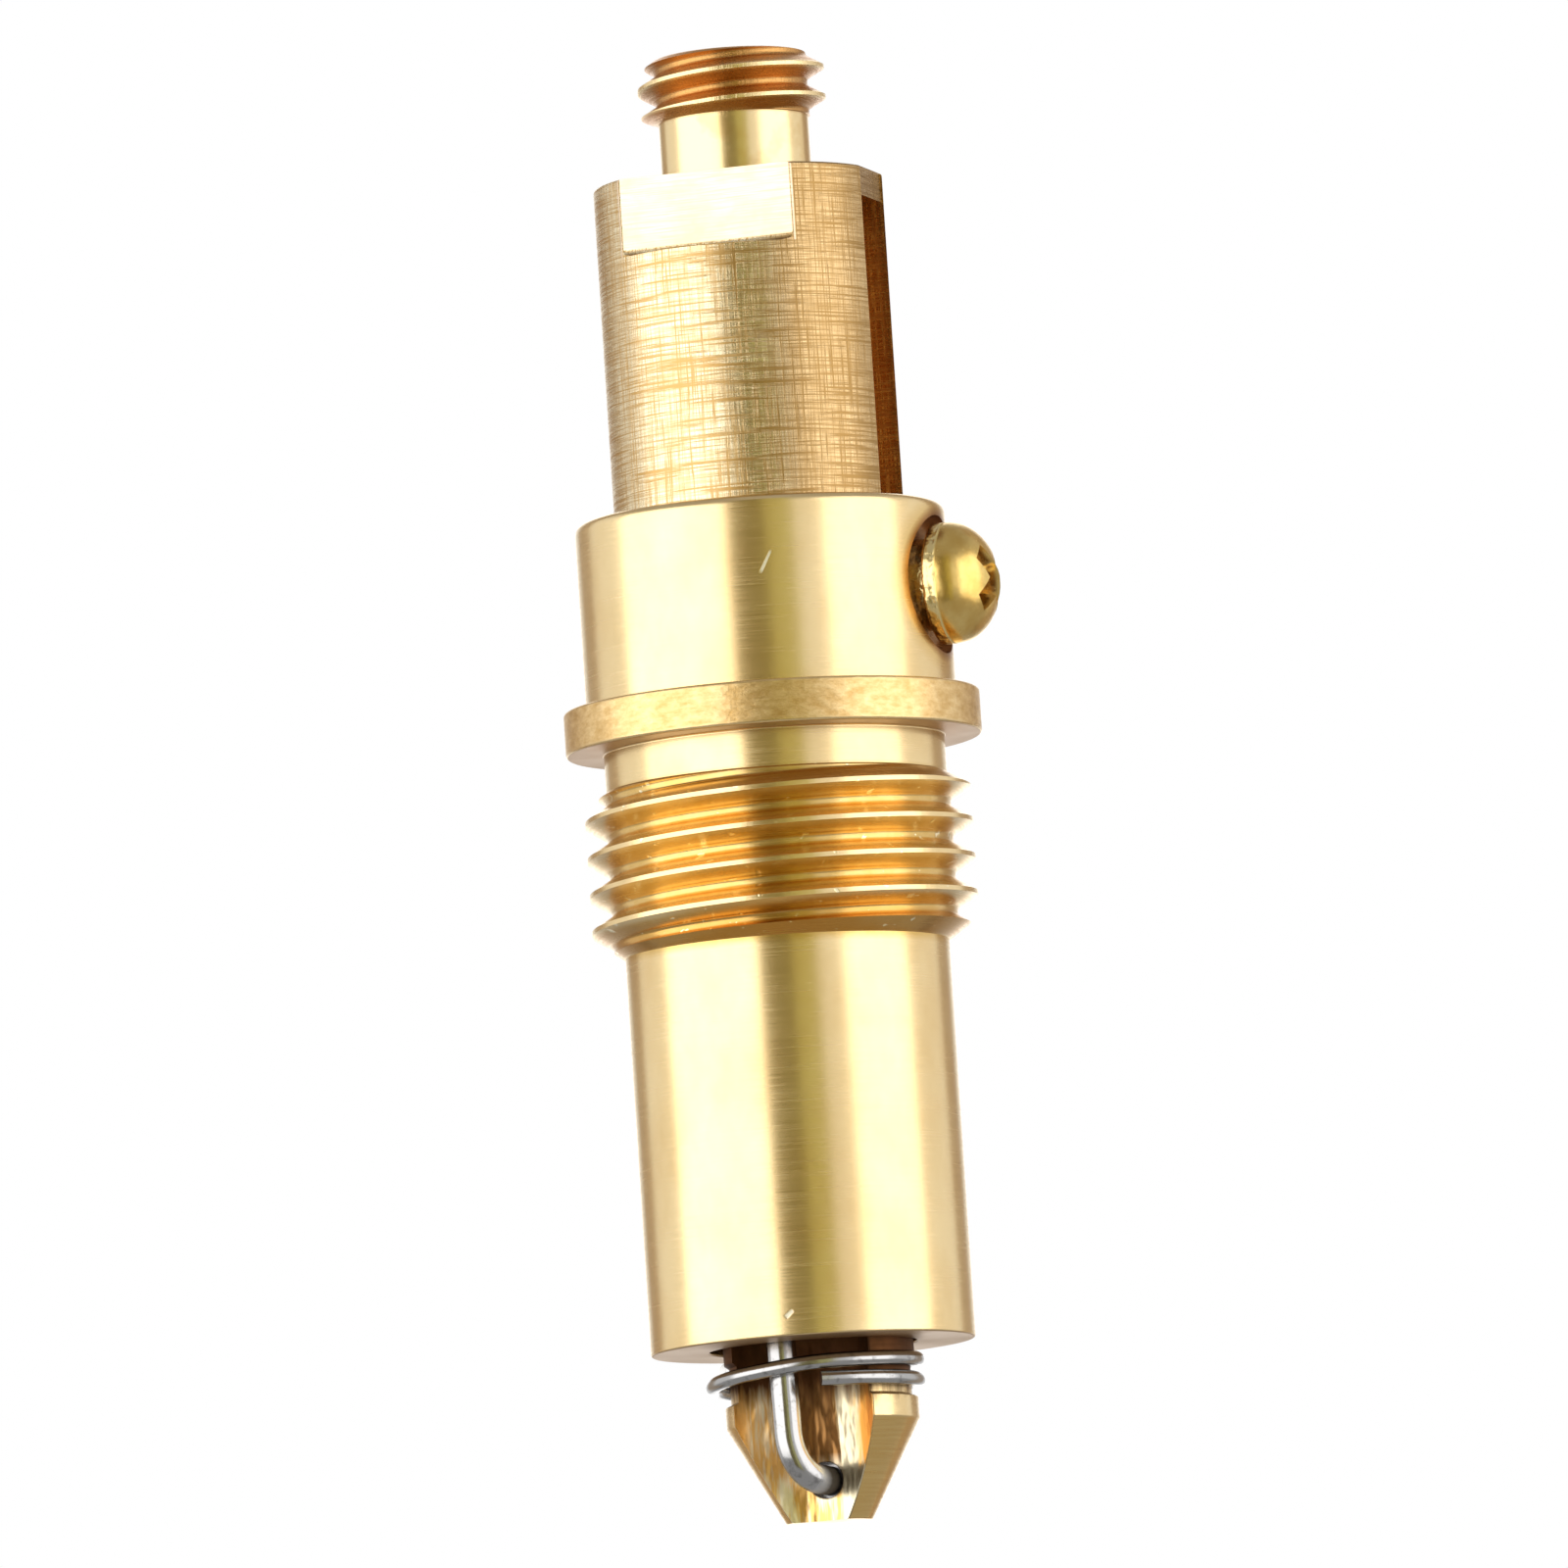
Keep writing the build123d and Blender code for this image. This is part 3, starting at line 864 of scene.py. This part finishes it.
def scratched_brass():
    """Brass scratched round and along, painted as a cream lit side and a tan shaded side towards the slot, with
    bright flats, a coppery stud and painted shade in the slot.
    """
    shader = Shader("plunger_brass")
    radius = shader.length((1, 1, 0))
    patches = shader.noise((500, 500, 500), 3.0, 0.6)
    fine_round = shader.noise((450, 450, 15000), 3.0, 0.6)
    lines = shader.all_of(
        shader.between(shader.noise((240, 240, 12000), 4.0, 0.65), 0.42, 0.48),
        shader.between(shader.noise((12000, 12000, 240), 4.0, 0.65), 0.39, 0.45),
        shader.between(fine_round, 0.38, 0.58, 0.4, 1.0),
        shader.between(shader.noise((14000, 14000, 350), 3.0, 0.6), 0.38, 0.58, 0.5, 1.0),
    )
    # Painted light and shade: the side away from the slot is a cream painted highlight, and the slot's side,
    # scores included, is a tan painted shade
    shaded_side = shader.between(shader.part("X"), 1.5, 3.5)
    ground = shader.mix(shaded_side, LIT_SIDE_CREAM, SHADED_SIDE_TAN)
    scored = shader.mix(shaded_side, LIT_SIDE_SCORE, SHADED_SIDE_SCORE)
    unworn = shader.between(patches, 0.3, 0.6, 1.0, 0.75)
    colour = shader.mix(shader.all_of(lines, unworn), scored, ground)
    roughness = shader.between(lines, 0.0, 1.0, 0.34, 0.2)

    neck_top = SHOULDER_Z + NECK_HEIGHT
    flats = flats_mask(shader)
    flat_lines = shader.all_of(shader.between(patches, 0.35, 0.6), shader.between(fine_round, 0.35, 0.65))
    flat_colour = shader.mix(flat_lines, FLAT_LINE_BRASS, FLAT_BRASS)
    neck = shader.height_band(SHOULDER_Z + 0.05, neck_top, 0.05)
    neck_colour = shader.mix(shader.between(patches, 0.5, 0.62), LIGHT_BRASS, DEEP_BRASS)
    colour = shader.mix(neck, shader.mix(flats, colour, flat_colour), neck_colour)
    bright = shader.math("MAXIMUM", flats, neck)
    roughness = shader.mix_value(bright, roughness, 0.22)

    stud = shader.all_of(
        shader.between(radius, STUD_ROOT_R - 0.25, STUD_ROOT_R - 0.1),
        shader.between(shader.part("Z"), neck_top - 0.1, neck_top + 0.1),
    )
    in_groove = shader.falling(radius, STUD_CREST_R - 0.17, STUD_CREST_R - 0.03)
    colour = shader.mix(stud, colour, shader.mix(in_groove, LIGHT_BRASS, COPPERY_BRASS))
    # Painted shade in the slot, deepest inside it
    colour = shader.mix(slot_shade_mask(shader, radius), colour, SLOT_SHADE_BRASS)

    scores = shader.bump(shader.math("MAXIMUM", lines, shader.all_of(bright, 0.9)), 0.015, 0.35)
    normal = shader.bump(patches, 0.03, 0.3, scores)
    return shader.finish(colour, roughness, normal)


def screw_brass():
    """Satin deep gold brass with faint dents, a brighter, pinched rim and a recess painted with patchy shade and
    highlights.
    """
    shader = Shader("screw_brass")
    along = shader.part("X")
    dents = shader.noise((900, 900, 900), 3.0, 0.6)
    grain = shader.noise((6000, 6000, 6000), 2.0, 0.5)
    facets = shader.noise((1500, 1500, 1500), 2.0, 0.5)
    colour = shader.mix(shader.between(dents, 0.35, 0.7), SCREW_GOLD, SCREW_DENT)
    rim = shader.falling(along, HEAD_RIM_X - 0.05, HEAD_RIM_X + 0.05)
    colour = shader.mix(rim, colour, SCREW_RIM)
    dome_scale = (1 / (HEAD_TOP_X - HEAD_RIM_X), 1 / HEAD_R, 1 / HEAD_R)
    on_dome = shader.length(dome_scale, (HEAD_RIM_X, 0, SCREW_Z))
    near_top = shader.between(along, HEAD_TOP_X - 1.6, HEAD_TOP_X - 1.5)
    in_recess = shader.all_of(near_top, shader.falling(on_dome, 0.88, 0.96))
    # Painted shade and highlights in the cross recess, in patches
    recess_shade_and_highlight = shader.mix(shader.between(facets, 0.45, 0.6), RECESS_SHADE, RECESS_HIGHLIGHT)
    colour = shader.mix(in_recess, colour, recess_shade_and_highlight)
    roughness = shader.between(grain, 0.2, 0.8, 0.22, 0.28)
    uneven = shader.bump(shader.all_of(facets, rim), 0.25, 0.7)
    normal = shader.bump(dents, 0.04, 0.5, uneven)
    return shader.finish(colour, roughness, normal)


def flute_colours(shader, streaks, across):
    """The flute's colour: streaky orange, with painted shade in the middle above the hole and a pale painted
    highlight right of that.
    """
    height = shader.part("Z")
    colour = shader.mix(shader.between(streaks, 0.42, 0.55), FLUTE_PALE, FLUTE_ORANGE)
    # A pale painted highlight on the right of the flute
    colour = shader.mix(shader.between(across, 1.15, 1.3), colour, FLUTE_RIGHT_HIGHLIGHT)
    # Painted shade in the middle, above the hole
    middle = shader.all_of(
        shader.between(across, -1.0, -0.8),
        shader.falling(across, 1.1, 1.25),
        shader.between(height, PIVOT.z + 0.3, PIVOT.z + 1.1),
    )
    colour = shader.mix(middle, colour, FLUTE_MIDDLE_SHADE)
    edge = shader.between(shader.math("ABSOLUTE", across), 2.3, 2.5)
    return shader.mix(edge, colour, FLUTE_ORANGE)


def carrier_brass():
    """Machined brass with coarse tool marks on the cone, a streaky flute with painted shade and highlight, a neck
    darkened by painted shade and oxide, and painted shade in the pivot hole.
    """
    shader = Shader("carrier_brass")
    height = shader.part("Z")
    marks = shader.noise((300, 300, 9000), 3.0, 0.6)
    stains = shader.noise((700, 700, 500), 3.0, 0.6)
    streaks = shader.noise((2600, 2600, 350), 3.0, 0.6)
    across = shader.math("ADD", shader.part("X"), shader.between(streaks, 0.3, 0.7, -0.22, 0.22))

    colour = shader.mix(shader.between(stains, 0.4, 0.75), LIGHT_BRASS, DEEP_BRASS)
    cone = shader.falling(height, LAND_BOTTOM - 0.1, LAND_BOTTOM)
    cone_colour = shader.mix(shader.between(marks, 0.3, 0.7), CONE_LIGHT, CONE_DARK)
    colour = shader.mix(cone, colour, cone_colour)

    flute_axis = (CARRIER_LEAN.x, FLUTE_Y + CARRIER_LEAN.y, 0)
    flute = shader.falling(shader.length((1, 1, 0), flute_axis), FLUTE_R + 0.02, FLUTE_R + 0.08)
    colour = shader.mix(flute, colour, flute_colours(shader, streaks, across))

    # Painted shade, with some oxide, on the neck under the skirt and behind the ring
    uneven_height = shader.math("ADD", height, shader.between(streaks, 0.3, 0.7, -0.4, 0.4))
    neck = shader.between(uneven_height, LAND_TOP - 0.2, LAND_TOP + 0.8)
    neck_colour = shader.mix(shader.between(stains, 0.3, 0.7), NECK_SHADE_BROWN, NECK_SHADE_DARK)
    colour = shader.mix(neck, colour, neck_colour)
    # Painted shade inside the pivot hole and round its rim
    hole = shader.falling(shader.length((1, 0, 1), PIVOT), PIVOT_HOLE_R, PIVOT_HOLE_R + 0.06)
    colour = shader.mix(hole, colour, HOLE_SHADE)

    left_wall = shader.falling(across, -1.3, -0.9)
    flute_roughness = shader.mix_value(left_wall, 0.28, 0.36)
    roughness = shader.mix_value(flute, shader.between(marks, 0.3, 0.7, 0.16, 0.28), flute_roughness)
    roughness = shader.math("ADD", roughness, shader.all_of(neck, 0.3))
    dents = shader.bump(shader.all_of(flute, shader.noise((1300, 1300, 500), 2.0, 0.5)), 0.25, 0.5)
    normal = shader.bump(shader.mix_value(flute, marks, 0.5), 0.01, 0.5, dents)
    return shader.finish(colour, roughness, normal)


def cam_brass():
    """Milled brass, duller than the turned surfaces."""
    shader = Shader("cam_brass")
    swirl = shader.noise((2500, 2500, 2500), 3.0, 0.6, 1.5)
    colour = shader.mix(shader.between(swirl, 0.35, 0.7), LIGHT_BRASS, DEEP_BRASS)
    roughness = shader.between(swirl, 0.3, 0.7, 0.22, 0.36)
    return shader.finish(colour, roughness, shader.bump(swirl, 0.01, 0.5))


def steel(name, along, low_roughness, high_roughness, shaded_end):
    """Drawn steel wire with faint streaks and dark specks, and painted shade on the needle's end in its hole."""
    shader = Shader(name)
    streaks = shader.noise(along, 3.0, 0.6)
    specks = shader.noise((2600, 2600, 2600), 2.0, 0.6)
    colour = shader.mix(shader.between(specks, 0.56, 0.8), PALE_STEEL, DARK_STEEL)
    roughness = shader.between(streaks, 0.3, 0.7, low_roughness, high_roughness)
    metal = 1.0
    if shaded_end:
        # Painted shade: the needle's end darkens and dulls where it goes into the hole
        end_shade = shader.falling(shader.length((1, 1, 1), (PIVOT.x, -1.4, PIVOT.z)), 0.7, 1.3)
        colour = shader.mix(end_shade, colour, NEEDLE_END_SHADE)
        roughness = shader.mix_value(end_shade, roughness, 0.8)
        metal = shader.math("SUBTRACT", 1.0, end_shade)
    return shader.finish(colour, roughness, shader.bump(streaks, 0.006, 0.4), metal)


def matt_paint(name, colour, roughness):
    """A matt painted surface with a faint mottle."""
    shader = Shader(name)
    paler = (*(min(1, part * 1.02) for part in colour), 1)
    mottled = shader.mix(shader.noise((3, 3, 3)), (*colour, 1), paler)
    shader.feed(shader.surface.inputs["Base Color"], mottled)
    shader.feed(shader.surface.inputs["Roughness"], roughness)
    return shader.material


# Studio

FLOOR_Z = -0.9
FLOOR_HALF_WIDTH = 40.0
LIGHT_ELEVATION = 6
SOFTBOX_DISTANCE = 1.2
SOFTBOX_HEIGHT = 1.4
CARD_DISTANCE = 1.3
CARD_HEIGHT = 2.4


def make_camera():
    """A long lens below the flange's level, turned towards the screw's side and rolled a little."""
    azimuth = radians(17)
    elevation = radians(-6.3)
    roll = radians(3.74)
    distance = 0.7504
    target_z = -1.6 * MM
    side_step = 0.3 * MM
    back = Vector((sin(azimuth) * cos(elevation), -cos(azimuth) * cos(elevation), sin(elevation)))
    right = Vector((cos(azimuth), sin(azimuth), 0))
    up = back.cross(right)
    turned_right = right * cos(roll) - up * sin(roll)
    turned_up = up * cos(roll) + right * sin(roll)
    camera = bpy.data.objects.new("camera", bpy.data.cameras.new("camera"))
    camera.data.lens = 420
    camera.data.sensor_width = 36
    camera.data.clip_start = 0.05
    camera.data.clip_end = 10
    place = Vector((0, 0, target_z)) + right * side_step + back * distance
    turn = Matrix((turned_right, turned_up, back)).transposed().to_4x4()
    camera.matrix_world = Matrix.Translation(place) @ turn
    bpy.context.scene.collection.objects.link(camera)
    bpy.context.scene.camera = camera


def round_the_object(azimuth, distance):
    """A place round the object, facing it. Azimuth 0 is in front of -Y and 90 is at +X, in degrees."""
    a = radians(azimuth)
    e = radians(LIGHT_ELEVATION)
    place = Vector((sin(a) * cos(e), -cos(a) * cos(e), sin(e))) * distance
    return Matrix.Translation(place) @ (-place).to_track_quat("-Z", "Y").to_matrix().to_4x4()


def softbox(name, azimuth, width, radiance):
    """A soft rectangular light with a given brightness, which isn't seen itself."""
    light = bpy.data.lights.new(name, "AREA")
    light.shape = "RECTANGLE"
    light.size = width
    light.size_y = SOFTBOX_HEIGHT
    light.energy = radiance * width * SOFTBOX_HEIGHT * pi
    lamp = bpy.data.objects.new(name, light)
    lamp.matrix_world = round_the_object(azimuth, SOFTBOX_DISTANCE)
    lamp.visible_camera = False
    bpy.context.scene.collection.objects.link(lamp)


def gobo(name, azimuth, width, colour):
    """A card round the object that shows as a dark band in the metal and isn't seen itself."""
    bm = bmesh.new()
    bmesh.ops.create_grid(bm, x_segments=1, y_segments=1, size=0.5)
    card = piece_from(name, bm)
    size = Matrix.Diagonal((width, CARD_HEIGHT, 1, 1))
    card.matrix_world = round_the_object(azimuth, CARD_DISTANCE) @ size
    card.data.materials.append(matt_paint(name + "_paint", colour, 0.9))
    card.visible_camera = False
    card.visible_shadow = False
    card.visible_diffuse = False


def make_floor():
    """A wide pale floor well below the object."""
    bm = bmesh.new()
    bmesh.ops.create_grid(bm, x_segments=4, y_segments=4, size=FLOOR_HALF_WIDTH)
    floor = piece_from("floor", bm)
    floor.location.z = FLOOR_Z
    floor.visible_glossy = False
    floor.data.materials.append(matt_paint("floor_paint", (0.86, 0.86, 0.85), 0.8))


def make_world():
    """White surroundings, which metal reflects as dimmer high up and, from half as far, low down."""
    world = bpy.data.worlds.new("studio")
    bpy.context.scene.world = world
    world.use_nodes = True
    sky = Nodes(world.node_tree)
    direction = sky.add("ShaderNodeTexCoord", "Generated")
    height = sky.add("ShaderNodeSeparateXYZ", "Z", [(0, direction)])
    tilt = sky.math("MAXIMUM", height, sky.math("MULTIPLY", height, -2.0))
    dimmed = sky.between(tilt, 0.35, 0.75, 0.85, 0.4)
    seen_directly = sky.add("ShaderNodeLightPath", "Is Camera Ray")
    background = world.node_tree.nodes["Background"]
    sky.feed(background.inputs["Color"], (1, 1, 1, 1))
    sky.feed(background.inputs["Strength"], sky.between(seen_directly, 0.0, 1.0, dimmed, 1.0))


def make_studio():
    """Two big soft lights beside the camera with a dark gap between, a small one behind, and a soft sun."""
    bpy.context.scene.view_settings.view_transform = "Standard"
    make_world()
    make_floor()
    softbox("softbox_left", -42, 1.85, 1.3)
    softbox("softbox_right", 84, 1.2, 1.15)
    softbox("softbox_back", 197, 0.5, 0.9)
    gobo("gobo_camera", 9, 0.58, (0.16, 0.135, 0.045))
    gobo("gobo_side", 29, 0.4, (0.35, 0.335, 0.13))
    gobo("gobo_back_left", -128, 0.55, (0.30, 0.24, 0.18))
    gobo("gobo_back_right", 162, 0.55, (0.30, 0.24, 0.18))
    overhead = bpy.data.objects.new("overhead", bpy.data.lights.new("overhead", "SUN"))
    overhead.data.energy = 2.25
    overhead.data.angle = radians(120)
    overhead.visible_glossy = False
    bpy.context.scene.collection.objects.link(overhead)


# Assembly


def place_piece(piece, node, body, material):
    """Scales a finished piece to metres, gives it its material and body, and hides the CAD node it stands for."""
    piece.data.transform(Matrix.Scale(MM, 4))
    piece.data.materials.clear()
    piece.data.materials.append(material)
    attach(piece, body)
    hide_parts(node)


make_camera()
make_studio()

place_piece(make_sleeve(), "sleeve", "housing", turned_brass())
place_piece(make_plunger(), "plunger", "plunger", scratched_brass())
place_piece(make_guide_screw(), "guide_screw", "housing", screw_brass())
place_piece(make_needle_carrier(), "needle_carrier", "housing", carrier_brass())

wire_steel = steel("polished_steel", (900, 900, 900), 0.14, 0.26, shaded_end=True)
place_piece(make_needle(), "needle", "needle", wire_steel)
place_piece(make_retaining_ring(), "retaining_ring", "housing", wire_steel)

spring = make_return_spring()
spring_steel = steel("spring_steel", (700, 700, 700), 0.22, 0.38, shaded_end=False)
place_piece(spring, "return_spring", "housing", spring_steel)
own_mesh(spring)

cam = frame["nodes"]["heart_cam"]
cam.material_slots[0].material = cam_brass()
